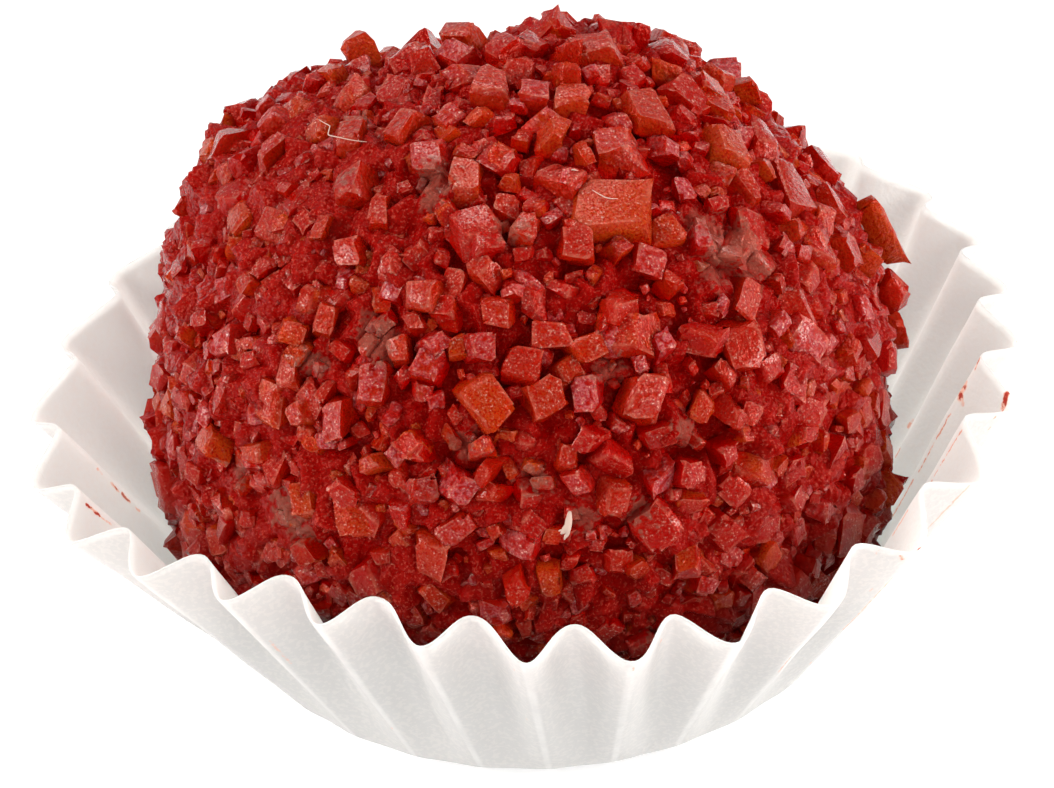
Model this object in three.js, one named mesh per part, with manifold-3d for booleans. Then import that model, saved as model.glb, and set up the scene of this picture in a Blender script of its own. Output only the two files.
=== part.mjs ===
// A brigadeiro: a hand-rolled sweet coated in coarse red sugar crystals, standing in its fluted paper case.
// Millimetres, +Z up. The origin is on the surface that the case stands on, below the middle of its rim.
// Directions round the sweet are a turn from the front (-Y), positive towards +X, and a rise above level.
import * as THREE from "three";
import { ParametricGeometry } from "three/addons/geometries/ParametricGeometry.js";
import { mergeVertices } from "three/addons/utils/BufferGeometryUtils.js";
import Module from "manifold-3d";

// Paper case: a flat round base and a wall pressed into flutes that deepen towards the rim
const PAPER = 0.3;
const BASE_RADIUS = 13.5;
const WALL_LENGTH = 14.35; // up the slope
const FLUTES = 28;
const FLUTE_DEPTH = 1.81; // from outward fold to inward fold, at the rim
const FLUTE_TURN = -4.8; // degrees from the front to the first outward fold
// Uneven spacing of the folds and uneven lean of the wall, in degrees, as waves round the rim
const FLUTE_DRIFT = { cos: [0.5, -0.4, -0.3, 0.5, 0.2], sin: [-1.7, 0.2, -0.6, -0.5, 0] };
const LEAN_DRIFT = { cos: [0.1, -1.8, 0.1, 0.2, 0.7], sin: [0.3, 0.6, 1.8, 1.9, -0.7] };
const WALL_LEAN = 30.3; // degrees from upright, on average
const FACETS_PER_FLUTE = 6;
const WALL_LEVELS = [0, 0.07, 0.36, 0.68, 1]; // parts of the wall's length that carry a ring of points
const CASE_SHIFT = [0.43, 0.2]; // brings the middle of the rim over the origin

// Sweet: wider than tall, flatter below its widest level, level where it sits
const SWEET_CENTRE = [-0.4, -1.0, 11.2];
const SWEET_RADIUS = 15.4;
const SWEET_RISE = 16.1; // from the widest level to the crown
const SWEET_DROP = 12.0; // from the widest level to where the round would close
const SWEET_FULLNESS = 2.6; // 2 is a true ellipse; more fills out the half below the widest level
const SEAT = 0.6; // height of its flat underside, just clear of the paper base
const SWEET_DETAIL = 8;
const LUMPS = [
  { turn: -120, rise: 38, height: 1.35, spread: 21 }, // the left shoulder
  { turn: -165, rise: 58, height: -1.1, spread: 18 }, // the hollow beside the crown
  { turn: 85, rise: -5, height: -0.6, spread: 13 }, // the flat right side
  { turn: 70, rise: -27, height: 0.5, spread: 14 },
  { turn: 155, rise: 12, height: 0.5, spread: 26 },
  { turn: -150, rise: -8, height: -0.4, spread: 20 },
];

// Sugar crystals that stand out, each by its place, its two widths, its thickness and its spin on the surface
const LARGE_CRYSTALS = [
  { turn: 32, rise: 58, across: 3.8, along: 2.8, thick: 1.5, spin: -28 }, // the broad amber slab
  { turn: 77, rise: 53, across: 2.1, along: 2.6, thick: 1.4, spin: -68 },
  { turn: 97, rise: 17, across: 1.2, along: 3.4, thick: 2.0, spin: 12 }, // stands off the right side
  { turn: -144, rise: 55, across: 1.7, along: 1.7, thick: 2.5, spin: 70 }, // stands on the left outline
  { turn: -168, rise: 73, across: 1.7, along: 1.5, thick: 2.3, spin: 142 }, // stands beside the crown
  { turn: 49, rise: 66, across: 2.5, along: 2.2, thick: 1.4, spin: -45 },
  { turn: 75, rise: 66, across: 2.1, along: 3.0, thick: 1.3, spin: -56 },
  { turn: 58, rise: 77, across: 1.7, along: 1.5, thick: 1.4, spin: -58 },
  { turn: 114, rise: 72, across: 2.5, along: 2.0, thick: 1.6, spin: -112 },
  { turn: 80, rise: 27, across: 1.9, along: 2.4, thick: 1.3, spin: -22 },
  { turn: 5, rise: 59, across: 1.6, along: 1.6, thick: 1.4, spin: -31 },
  { turn: -4, rise: 47, across: 1.8, along: 1.8, thick: 1.3, spin: -4 },
  { turn: -21, rise: 49, across: 1.8, along: 1.8, thick: 1.3, spin: 2 },
  { turn: -7, rise: 34, across: 1.8, along: 2.4, thick: 1.5, spin: 30 },
  { turn: 20, rise: 31, across: 2.2, along: 2.5, thick: 1.4, spin: -28 },
  { turn: 42, rise: 32, across: 2.0, along: 2.0, thick: 1.4, spin: -19 },
  { turn: 90, rise: 6, across: 1.3, along: 2.8, thick: 1.8, spin: 0 },
  { turn: -12, rise: 22, across: 1.8, along: 1.9, thick: 1.5, spin: -35 },
  { turn: 12, rise: 18, across: 1.6, along: 2.0, thick: 1.3, spin: -23 },
  { turn: -42, rise: 53, across: 1.6, along: 1.8, thick: 1.5, spin: 31 },
  { turn: -54, rise: 62, across: 2.0, along: 2.4, thick: 1.6, spin: 39 },
  { turn: -35, rise: 71, across: 2.6, along: 2.6, thick: 1.2, spin: 30 },
  { turn: -46, rise: 33, across: 1.6, along: 2.2, thick: 1.3, spin: 16 },
  { turn: -34, rise: 29, across: 1.5, along: 2.2, thick: 1.4, spin: 9 },
  { turn: -17, rise: 11, across: 1.8, along: 2.2, thick: 1.3, spin: -12 },
];
// The rest of the larger crystals, spread evenly over the sweet
const SPREAD_CRYSTALS = 350;
const CRYSTAL_WIDTH = [1.3, 2.1];
const CRYSTAL_LENGTH = [0.75, 1.25]; // parts of its width
const CRYSTAL_THICKNESS = 1.5;
const CRYSTAL_SINK = 0.3; // part of the thickness pressed into the surface
const CRYSTAL_TILT = 16; // degrees, at most
const CORNER_WEAR = 0.16; // the most that a corner lies inside its box, as a part of the width
const WANDER = 0.35; // places wander from the even spread by this part of their spacing
const ELBOW_ROOM = 0.68; // part of the spacing that a large crystal keeps free round its middle
const LOWEST_RISE = -42; // degrees; below it the sweet lies bare on the base
const PAPER_CLEARANCE = 0.35;

const SUGAR_RED = 0xa8262b;
const SUGAR_ROUGHNESS = 0.45;
const PAPER_WHITE = 0xe9e6e2;
const PAPER_ROUGHNESS = 0.9;

const wasm = await Module();
wasm.setup();

const radians = THREE.MathUtils.degToRad;
const GOLDEN_ANGLE = Math.PI * (3 - Math.sqrt(5));
const WELD = 1e-3; // points closer than this are one
// What is drawn for a crystal; the wear takes a number for each of its corners
const DRAW = { rise: 1, turn: 2, width: 3, length: 4, spin: 5, tilt: 6, wearAcross: 10, wearAlong: 20 };
const SCRAMBLE = { crystal: 12.9898, purpose: 78.233, stretch: 43758.5453 };

// The same fraction from 0 to 1 each time for a crystal's number and for what is drawn
function draw(number, purpose) {
  const phase = number * SCRAMBLE.crystal + purpose * SCRAMBLE.purpose;
  const wide = Math.sin(phase) * SCRAMBLE.stretch;
  return wide - Math.floor(wide);
}

function between([low, high], part) {
  return low + (high - low) * part;
}

// A slow wander round the rim, as a sum of the first few waves
function drift({ cos, sin }, angle) {
  let total = 0;
  for (let wave = 1; wave <= cos.length; wave++) {
    total += cos[wave - 1] * Math.cos(wave * angle) + sin[wave - 1] * Math.sin(wave * angle);
  }
  return total;
}

function wallLean(angle) {
  return radians(WALL_LEAN + drift(LEAN_DRIFT, angle));
}

function fluteDepth(level) {
  return FLUTE_DEPTH * level;
}

// A point of the wall: up the slope by its level, out or in with its flute, and inset from the outer face
function wallPoint(angle, level, inset, target) {
  const lean = wallLean(angle);
  const wave = Math.cos(FLUTES * (angle - radians(FLUTE_TURN + drift(FLUTE_DRIFT, angle))));
  const out = (fluteDepth(level) / 2) * wave - inset;
  const reach = BASE_RADIUS + WALL_LENGTH * level * Math.sin(lean) + out * Math.cos(lean);
  const height = WALL_LENGTH * level * Math.cos(lean) - out * Math.sin(lean);
  return target.set(reach * Math.sin(angle), -reach * Math.cos(angle), height);
}

// The case as one closed skin: under the base, up the outer face, over the rim, down the inner face
function paperCase() {
  const outer = WALL_LEVELS.map((level) => ({ level, inset: 0 }));
  const inner = WALL_LEVELS.slice(1).map((level) => ({ level, inset: PAPER })).reverse();
  const stations = [{ middle: 0 }, ...outer, ...inner, { edge: PAPER }, { middle: PAPER }];
  const last = stations.length - 1;
  const skin = (around, along, target) => {
    const angle = 2 * Math.PI * around;
    const station = stations[Math.round(along * last)];
    if (station.middle !== undefined) {
      return target.set(0, 0, station.middle);
    }
    if (station.edge !== undefined) {
      const lean = wallLean(angle);
      const reach = BASE_RADIUS - (PAPER * (1 - Math.sin(lean))) / Math.cos(lean);
      return target.set(reach * Math.sin(angle), -reach * Math.cos(angle), station.edge);
    }
    return wallPoint(angle, station.level, station.inset, target);
  };
  return new ParametricGeometry(skin, FLUTES * FACETS_PER_FLUTE, last);
}

function direction(turn, rise) {
  const flat = Math.cos(rise);
  return new THREE.Vector3(flat * Math.sin(turn), -flat * Math.cos(turn), Math.sin(rise));
}

const lumps = LUMPS.map(({ turn, rise, height, spread }) => ({
  toward: direction(radians(turn), radians(rise)),
  height,
  spread: radians(spread),
}));

// How far from the case's axis a point may lie at its height and still keep clear of the inward folds
function roomInCase({ x, y, z }) {
  const lean = wallLean(Math.atan2(x, -y));
  const top = WALL_LENGTH * Math.cos(lean);
  if (z > top + FLUTE_DEPTH) {
    return Infinity;
  }
  const level = Math.min(1, Math.max(0, z / top));
  const fold = (fluteDepth(level) / 2 + PAPER + PAPER_CLEARANCE) / Math.cos(lean);
  return BASE_RADIUS + z * Math.tan(lean) - fold;
}

// The sweet's skin in one direction from its centre: two half ellipsoids, swollen or dented by the lumps,
// level where it sits and pressed in where the paper holds it
function sweetPoint(toward) {
  let swell = 0;
  for (const lump of lumps) {
    swell += lump.height * Math.exp(-((toward.angleTo(lump.toward) / lump.spread) ** 2));
  }
  const tall = toward.z > 0 ? SWEET_RISE : SWEET_DROP;
  const fullness = toward.z > 0 ? 2 : SWEET_FULLNESS;
  const flat = Math.hypot(toward.x, toward.y);
  const fill = (flat ** fullness + Math.abs(toward.z) ** fullness) ** (-1 / fullness);
  const point = new THREE.Vector3(SWEET_RADIUS, SWEET_RADIUS, tall).multiply(toward).multiplyScalar(fill);
  point.addScaledVector(toward, swell).add(new THREE.Vector3(...SWEET_CENTRE));
  point.z = Math.max(point.z, SEAT);
  const squeeze = Math.min(1, roomInCase(point) / Math.hypot(point.x, point.y));
  return point.set(point.x * squeeze, point.y * squeeze, point.z);
}

function sweetNormal(toward) {
  const tall = toward.z > 0 ? SWEET_RISE : SWEET_DROP;
  const flatness = SWEET_RADIUS / tall;
  return new THREE.Vector3(toward.x, toward.y, toward.z * flatness).normalize();
}

function sweetBody() {
  const geometry = new THREE.IcosahedronGeometry(1, SWEET_DETAIL);
  const position = geometry.getAttribute("position");
  const toward = new THREE.Vector3();
  for (let i = 0; i < position.count; i++) {
    const point = sweetPoint(toward.fromBufferAttribute(position, i).normalize());
    position.setXYZ(i, point.x, point.y, point.z);
  }
  return geometry;
}

// One crystal: a block with worn corners, lying on the sweet with its spin and tilt
function crystal(number, toward, { across, along, thick, spin, tilt }) {
  const geometry = new THREE.BoxGeometry(across, along, thick);
  geometry.deleteAttribute("normal");
  geometry.deleteAttribute("uv");
  const block = mergeVertices(geometry);
  const position = block.getAttribute("position");
  for (let corner = 0; corner < position.count; corner++) {
    position.setXYZ(
      corner,
      position.getX(corner) * (1 - CORNER_WEAR * draw(number, DRAW.wearAcross + corner)),
      position.getY(corner) * (1 - CORNER_WEAR * draw(number, DRAW.wearAlong + corner)),
      position.getZ(corner),
    );
  }
  const normal = sweetNormal(toward);
  const east = new THREE.Vector3(0, 0, 1).cross(normal).normalize();
  const north = new THREE.Vector3().crossVectors(normal, east);
  const turned = new THREE.Matrix4().makeBasis(east, north, normal);
  turned.multiply(new THREE.Matrix4().makeRotationZ(spin));
  turned.multiply(new THREE.Matrix4().makeRotationX(tilt));
  turned.setPosition(sweetPoint(toward).addScaledVector(normal, thick * (0.5 - CRYSTAL_SINK)));
  return block.applyMatrix4(turned);
}

// Whether every corner keeps clear of the paper's wall and base
function clearOfPaper(block) {
  const position = block.getAttribute("position");
  const corner = new THREE.Vector3();
  for (let i = 0; i < position.count; i++) {
    corner.fromBufferAttribute(position, i);
    if (corner.z < SEAT || Math.hypot(corner.x, corner.y) > roomInCase(corner)) {
      return false;
    }
  }
  return true;
}

function largeCrystals() {
  return LARGE_CRYSTALS.map(({ turn, rise, across, along, thick, spin }, number) => {
    const toward = direction(radians(turn), radians(rise));
    const block = crystal(number, toward, { across, along, thick, spin: radians(spin), tilt: 0 });
    return { toward, block };
  });
}

// Crystals along a spiral that spaces them evenly from crown to base, each nudged from its place
function spreadCrystals(taken) {
  const blocks = [];
  const spacing = Math.sqrt((4 * Math.PI) / SPREAD_CRYSTALS);
  for (let place = 0; place < SPREAD_CRYSTALS; place++) {
    const number = LARGE_CRYSTALS.length + place;
    const level = Math.asin(1 - (2 * place + 1) / SPREAD_CRYSTALS);
    const rise = level + spacing * WANDER * (draw(number, DRAW.rise) - 0.5);
    const aside = spacing * WANDER * (draw(number, DRAW.turn) - 0.5);
    const turn = place * GOLDEN_ANGLE + aside / Math.cos(rise);
    const toward = direction(turn, rise);
    const crowded = taken.some((other) => other.toward.angleTo(toward) < spacing * ELBOW_ROOM);
    if (rise < radians(LOWEST_RISE) || crowded) {
      continue;
    }
    const across = between(CRYSTAL_WIDTH, draw(number, DRAW.width));
    const block = crystal(number, toward, {
      across,
      along: across * between(CRYSTAL_LENGTH, draw(number, DRAW.length)),
      thick: CRYSTAL_THICKNESS,
      spin: Math.PI * draw(number, DRAW.spin),
      tilt: radians(CRYSTAL_TILT) * (2 * draw(number, DRAW.tilt) - 1),
    });
    if (clearOfPaper(block)) {
      blocks.push(block);
    }
  }
  return blocks;
}

function solid(geometry) {
  const bare = geometry.clone();
  bare.deleteAttribute("normal");
  bare.deleteAttribute("uv");
  const merged = mergeVertices(bare, WELD);
  return new wasm.Manifold(
    new wasm.Mesh({
      numProp: 3,
      vertProperties: merged.getAttribute("position").array,
      triVerts: new Uint32Array(merged.index.array),
    }),
  );
}

// Joins the crystals to the sweet and keeps the outer skin alone, so that no hollow is sealed between them
function fused(body, blocks) {
  let joined = solid(body);
  for (const block of blocks) {
    joined = joined.add(solid(block));
  }
  const skins = joined.decompose();
  const outer = skins.reduce((best, skin) => (skin.volume() > best.volume() ? skin : best));
  const { vertProperties, triVerts } = outer.getMesh();
  const geometry = new THREE.BufferGeometry();
  geometry.setAttribute("position", new THREE.BufferAttribute(vertProperties, 3));
  geometry.setIndex(new THREE.BufferAttribute(triVerts, 1));
  return geometry;
}

function named(name, geometry, color, roughness) {
  geometry.computeVertexNormals();
  const material = new THREE.MeshStandardMaterial({ color, roughness, metalness: 0, flatShading: true });
  const mesh = new THREE.Mesh(geometry, material);
  mesh.name = name;
  return mesh;
}

const large = largeCrystals();
const coat = [...large.map(({ block }) => block), ...spreadCrystals(large)];

const brigadeiro = new THREE.Group();
brigadeiro.add(named("coated_sweet", fused(sweetBody(), coat), SUGAR_RED, SUGAR_ROUGHNESS));
brigadeiro.add(named("paper_case", paperCase(), PAPER_WHITE, PAPER_ROUGHNESS));
for (const piece of brigadeiro.children) {
  piece.position.set(...CASE_SHIFT, 0);
}

export default brigadeiro;
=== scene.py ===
"""A brigadeiro, a hand-rolled sweet in a coat of coarse red sugar crystals, in its fluted paper case.

Shapes are worked out in millimetres about the axis of the case and put into meshes in metres, +Z up.
A turn is an angle round the case from the front (-Y), positive towards +X, and a rise is an angle above
level.
"""
import math

import bpy
import numpy as np
from mathutils import Matrix


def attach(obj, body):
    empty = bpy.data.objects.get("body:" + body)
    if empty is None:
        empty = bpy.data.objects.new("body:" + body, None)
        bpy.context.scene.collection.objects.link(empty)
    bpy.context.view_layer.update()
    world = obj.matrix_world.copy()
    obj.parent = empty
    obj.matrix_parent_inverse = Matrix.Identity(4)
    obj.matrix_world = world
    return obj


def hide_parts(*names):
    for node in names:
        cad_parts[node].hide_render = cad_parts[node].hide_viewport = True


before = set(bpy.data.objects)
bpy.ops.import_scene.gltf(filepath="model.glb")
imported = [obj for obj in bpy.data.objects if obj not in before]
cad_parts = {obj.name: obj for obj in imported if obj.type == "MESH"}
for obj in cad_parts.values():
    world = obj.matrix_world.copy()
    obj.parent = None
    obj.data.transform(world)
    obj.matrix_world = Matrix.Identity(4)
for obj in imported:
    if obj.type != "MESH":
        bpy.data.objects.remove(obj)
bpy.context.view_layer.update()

# Paper case
# One disc of thin white greaseproof paper, pressed into a flat base and a wall of flutes that deepen to
# the cut rim. It stands loose on the table and holds the sweet by its inward folds, and the sugar has
# stained it.
MM = 0.001
CASE_SHIFT = np.array([0.43, 0.2, 0.0])  # brings the middle of the rim over the origin
PAPER = 0.1
BASE_RADIUS = 13.5
BASE_BEND = 1.6  # radius where the base turns up into the wall
WALL_LENGTH = 14.35  # up the slope
WALL_LEAN = 30.3  # degrees from upright, on average
FLUTES = 28
FLUTE_DEPTH = 1.81  # from outward fold to inward fold, at the rim
FLUTE_TURN = -4.8  # degrees from the front to the first outward fold
FOLD_ROUNDNESS = 1.7  # 2 is an even wave; less pinches the inward folds and rounds the outward ones
# The front folds that are rounder on their inward side
BLUNT_FOLDS = {"turn": -22, "spread": 26, "more": 0.8}
RIPPLE = 0.05  # how unevenly the flutes run, as a part of their depth
RIPPLE_PITCH = 0.9  # radians for each mm along a flute
RIPPLE_SWAY = 23  # radians that its phase sways round the case
# Uneven spacing of the folds and uneven lean of the wall, in degrees, as waves round the rim
FLUTE_DRIFT = {"cos": [0.5, -0.4, -0.3, 0.5, 0.2], "sin": [-1.7, 0.2, -0.6, -0.5, 0.0]}
LEAN_DRIFT = {"cos": [0.1, -1.8, 0.1, 0.2, 0.7], "sin": [0.3, 0.6, 1.8, 1.9, -0.7]}
COLUMNS_PER_FLUTE = 24
FIRST_RING = 0.5  # radius of the ring about the middle of the base
BASE_RINGS = 5
BEND_RINGS = 6
WALL_RINGS = 34


def drift(waves, angle):
    """A slow wander round the rim: the sum of the first five cosine and sine waves of the angle."""
    phase = np.multiply.outer(angle, np.arange(1, len(waves["cos"]) + 1))
    return np.cos(phase) @ np.array(waves["cos"]) + np.sin(phase) @ np.array(waves["sin"])


def wall_lean(angle):
    """Lean of the wall from upright at an angle round the case, in radians."""
    return np.radians(WALL_LEAN + drift(LEAN_DRIFT, angle))


def flute_wave(angle):
    """1 on an outward fold and -1 on an inward one: the half-angle cosine to the power of the roundness."""
    phase = FLUTES * (angle - np.radians(FLUTE_TURN + drift(FLUTE_DRIFT, angle)))
    from_blunt = (np.degrees(angle) - BLUNT_FOLDS["turn"] + 180) % 360 - 180
    blunt = BLUNT_FOLDS["more"] * np.exp(-((from_blunt / BLUNT_FOLDS["spread"]) ** 2))
    return 2 * np.abs(np.cos(phase / 2)) ** (FOLD_ROUNDNESS + blunt) - 1


def flute_depth(level):
    """Depth of the flutes, which grows evenly from none at level 0, the base, to all at the rim."""
    return FLUTE_DEPTH * np.clip(level, 0, 1)


def case_skin(angle, along):
    """Outer face of the case for a distance along its profile, in mm from the middle of the base.

    The profile runs out along the base, round an arc, and up the slope; the flutes push it out and in
    across the slope, and a slow ripple along each flute leaves the paper a little uneven.
    """
    lean = wall_lean(angle)
    climb = math.pi / 2 - lean
    tangent = BASE_BEND * np.tan(climb / 2)
    flat_end = BASE_RADIUS - tangent
    bend_end = flat_end + BASE_BEND * climb
    swing = np.clip((along - flat_end) / BASE_BEND, 0, climb)
    up_slope = np.clip(along - bend_end, 0, None)
    reach = np.minimum(along, flat_end) + BASE_BEND * np.sin(swing) + up_slope * np.sin(lean)
    height = BASE_BEND * (1 - np.cos(swing)) + up_slope * np.cos(lean)
    round_bend = np.clip((along - flat_end) / (bend_end - flat_end), 0, 1)
    level = round_bend * (tangent + up_slope) / WALL_LENGTH
    sway = np.sin(RIPPLE_PITCH * along + RIPPLE_SWAY * np.sin(3 * angle))
    ripple = RIPPLE * sway * np.sin(11 * angle + 2)
    out = (flute_depth(level) / 2) * (flute_wave(angle) + ripple)
    reach = reach + out * np.sin(swing)
    height = height - out * (1 - np.cos(swing)) * np.sin(lean) / (1 - np.cos(climb))
    return np.stack([reach * np.sin(angle), -reach * np.cos(angle), height], axis=-1)


def unit(vectors):
    """The vectors brought to a length of one."""
    return vectors / np.linalg.norm(vectors, axis=-1, keepdims=True)


def grid_normals(points):
    """Outward unit normals of a grid of points that closes on itself round its first axis."""
    around = np.roll(points, -1, axis=0) - np.roll(points, 1, axis=0)
    along = np.gradient(points, axis=1)
    return unit(np.cross(around, along))


def closed_skin(columns, rows):
    """Faces of a grid of columns by rows that closes round the columns, and of a fan at each end.

    Points are numbered up each column in turn, and the middles of the first and last fan come after them.
    """
    column, row = np.meshgrid(np.arange(columns), np.arange(rows - 1), indexing="ij")
    here = column * rows + row
    following = (column + 1) % columns * rows + row
    quads = np.stack([here, following, following + 1, here + 1], axis=-1).reshape(-1, 4)
    middle = np.full(columns, columns * rows)
    first_fan = np.stack([following[:, 0], here[:, 0], middle], axis=-1)
    last_fan = np.stack([here[:, -1], following[:, -1], middle], axis=-1) + 1
    return [quads, first_fan, last_fan]


def put_mesh(name, points, face_groups, material, smooth):
    """A new object at the origin from points in mm about the case's axis and arrays of equal faces."""
    corners = np.concatenate([faces.ravel() for faces in face_groups])
    counts = np.concatenate([np.full(len(faces), faces.shape[1]) for faces in face_groups])
    mesh = bpy.data.meshes.new(name)
    mesh.vertices.add(len(points))
    mesh.loops.add(len(corners))
    mesh.polygons.add(len(counts))
    mesh.vertices.foreach_set("co", ((points + CASE_SHIFT) * MM).astype(np.float32).ravel())
    mesh.loops.foreach_set("vertex_index", corners.astype(np.int32))
    mesh.polygons.foreach_set("loop_start", (np.cumsum(counts) - counts).astype(np.int32))
    mesh.update(calc_edges=True)
    mesh.polygons.foreach_set("use_smooth", np.full(len(counts), smooth))
    mesh.materials.append(material)
    made = bpy.data.objects.new(name, mesh)
    bpy.context.scene.collection.objects.link(made)
    return made


def put_values(piece, domain, **values):
    """Keeps named numbers for each point or face of a piece, for its material to read."""
    for name, numbers in values.items():
        attribute = piece.data.attributes.new(name, "FLOAT", domain)
        attribute.data.foreach_set("value", np.asarray(numbers, np.float32).ravel())


def fill(tree, node, inputs):
    """Gives each named input of a shader node a plain value, or the socket of a node that feeds it."""
    for name, value in inputs.items():
        if isinstance(value, bpy.types.NodeSocket):
            tree.links.new(value, node.inputs[name])
        else:
            node.inputs[name].default_value = value


def add(tree, kind, inputs, **settings):
    """Adds a shader node with its settings and inputs."""
    made = tree.nodes.new(kind)
    for name, value in settings.items():
        setattr(made, name, value)
    fill(tree, made, inputs)
    return made


def worked(tree, operation, *terms):
    """The result of a sum on numbers or sockets."""
    return add(tree, "ShaderNodeMath", dict(enumerate(terms)), operation=operation).outputs[0]


def product(tree, first, *others):
    """All the numbers or sockets multiplied together."""
    for other in others:
        first = worked(tree, "MULTIPLY", first, other)
    return first


def stretched(tree, value, times, plus):
    """A value times one number, plus another."""
    return worked(tree, "MULTIPLY_ADD", value, times, plus)


def mixed(tree, share, first, second):
    """A colour between two colours."""
    return add(tree, "ShaderNodeMix", {0: share, 6: first, 7: second}, data_type="RGBA").outputs[2]


def kept(tree, name):
    """The number that a piece keeps under that name."""
    return add(tree, "ShaderNodeAttribute", {}, attribute_name=name).outputs["Fac"]


def stepped(tree, value, low, high):
    """0 below the low number, 1 above the high one, and a smooth change between."""
    inputs = {"Value": value, "From Min": low, "From Max": high}
    return add(tree, "ShaderNodeMapRange", inputs, interpolation_type="SMOOTHSTEP").outputs["Result"]


def bumped(tree, height, depth, strength, under=None):
    """The normal of a surface with relief of a depth in mm, laid over another such normal if given."""
    inputs = {"Height": height, "Distance": depth * MM, "Strength": strength}
    if under is not None:
        inputs["Normal"] = under
    return add(tree, "ShaderNodeBump", inputs).outputs["Normal"]


def bare_material(name):
    """A new material with its node tree, its Principled shader and no other node."""
    material = bpy.data.materials.new(name)
    material.use_nodes = True
    tree = material.node_tree
    tree.nodes.clear()
    shader = add(tree, "ShaderNodeBsdfPrincipled", {})
    add(tree, "ShaderNodeOutputMaterial", {"Surface": shader.outputs["BSDF"]})
    return material, tree, shader


def new_group(name, inputs, results):
    """An empty node group with inputs of named kinds and results that are numbers, and its inputs."""
    group = bpy.data.node_groups.new(name, "ShaderNodeTree")
    for title, kind in inputs.items():
        group.interface.new_socket(title, in_out="INPUT", socket_type="NodeSocket" + kind)
    for title in results:
        group.interface.new_socket(title, in_out="OUTPUT", socket_type="NodeSocketFloat")
    return group, add(group, "NodeGroupInput", {}).outputs


SPECK_LEVEL = 0.72  # grain above this stands out as a speck when the share is none
SPECK_RANGE = 0.5  # how far a full share lowers that level
SPECK_EDGE = 0.1


def speckle_group():
    """Grain of a given fineness, as a value, and the share of it that stands out as specks, as a mask."""
    group, given = new_group("speckle", {"Grain per metre": "Float", "Share": "Float"}, ["Value", "Specks"])
    place = add(group, "ShaderNodeTexCoord", {}).outputs["Object"]
    inputs = {"Vector": place, "Scale": given["Grain per metre"], "Detail": 1.0}
    value = add(group, "ShaderNodeTexNoise", inputs).outputs["Fac"]
    low = stretched(group, given["Share"], -SPECK_RANGE, SPECK_LEVEL)
    specks = stepped(group, value, low, worked(group, "ADD", low, SPECK_EDGE))
    add(group, "NodeGroupOutput", {"Value": value, "Specks": specks})
    return group


speckle = speckle_group()


def grain(tree, size, share=0.3):
    """Value and specks of a grain of a size in mm."""
    inputs = {"Grain per metre": 1 / (size * MM), "Share": share}
    made = add(tree, "ShaderNodeGroup", inputs, node_tree=speckle)
    return made.outputs["Value"], made.outputs["Specks"]


PAPER_WHITE = (0.735, 0.738, 0.73, 1)
# Painted shade: the outer face of the case is the same paper as the inner one, coloured darker
PAPER_OUTSIDE_SHADED = (0.61, 0.603, 0.596, 1)
PAPER_THIN = (0.74, 0.71, 0.68, 1)
# Painted highlight: paler colour along the crests of the outward folds
PAPER_FOLD_HIGHLIGHT = (0.78, 0.77, 0.76, 1)
PAPER_CLOUD = 1.3  # size of the cloudy patches
PAPER_FIBRE = 0.22  # size of the fibre
THIN_SHARE = 0.45  # of the paper, where it is thinner
FIBRE_RELIEF = 0.03
STAIN_PINK = (0.78, 0.47, 0.37, 1)
STAIN_RED = (0.36, 0.035, 0.02, 1)
STAIN_GRAIN = 0.3  # size of what frays and breaks a stain
STAIN_FRAY = 0.18  # how far the edge of a stain strays
STAIN_MARGIN = 0.5  # beyond the fray, so that whole faces of the mesh take the stain
# Turn and distance along the profile of each end of a streak of dye, its half width and its strength
INNER_STAINS = [
    (79.2, 27.5, 78.9, 27.0, 0.13, 0.9),  # right wall
    (79.0, 26.0, 78.6, 25.3, 0.26, 1.1),
    (78.6, 25.6, 77.8, 25.3, 0.18, 0.9),
    (74.6, 27.6, 73.8, 27.0, 0.20, 1.4),
    (81.5, 27.6, 85.5, 27.6, 0.09, 0.4),
    (78.4, 24.4, 78.0, 21.0, 0.08, 0.65),
    (78.2, 20.4, 78.0, 18.0, 0.08, 0.6),
    (98.0, 19.8, 98.0, 19.4, 0.13, 0.55),
    (91.4, 19.2, 91.4, 18.8, 0.13, 0.6),
    (65.0, 27.3, 64.6, 23.0, 0.07, 0.6),
    (64.6, 23.0, 64.3, 20.8, 0.10, 0.85),
    (64.3, 20.8, 64.0, 18.4, 0.17, 1.1),
    (51.2, 26.2, 50.9, 24.5, 0.10, 0.45),
    (45.1, 27.5, 45.4, 27.2, 0.24, 1.4),
    (42.9, 27.4, 43.3, 27.2, 0.16, 1.0),
    (41.0, 27.5, 41.0, 27.2, 0.10, 0.45),
    (-114.0, 27.5, -113.8, 27.2, 0.13, 0.5),  # left wall
    (-85.9, 24.9, -85.8, 24.6, 0.11, 0.45),
    (-85.8, 23.9, -85.7, 23.4, 0.12, 0.95),
    (-85.9, 23.1, -85.8, 22.6, 0.13, 0.9),
    (-85.9, 22.2, -85.8, 21.9, 0.10, 0.5),
    (-72.5, 26.9, -72.4, 26.0, 0.12, 1.4),
    (-72.4, 26.0, -72.5, 25.2, 0.08, 0.5),
]
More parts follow.
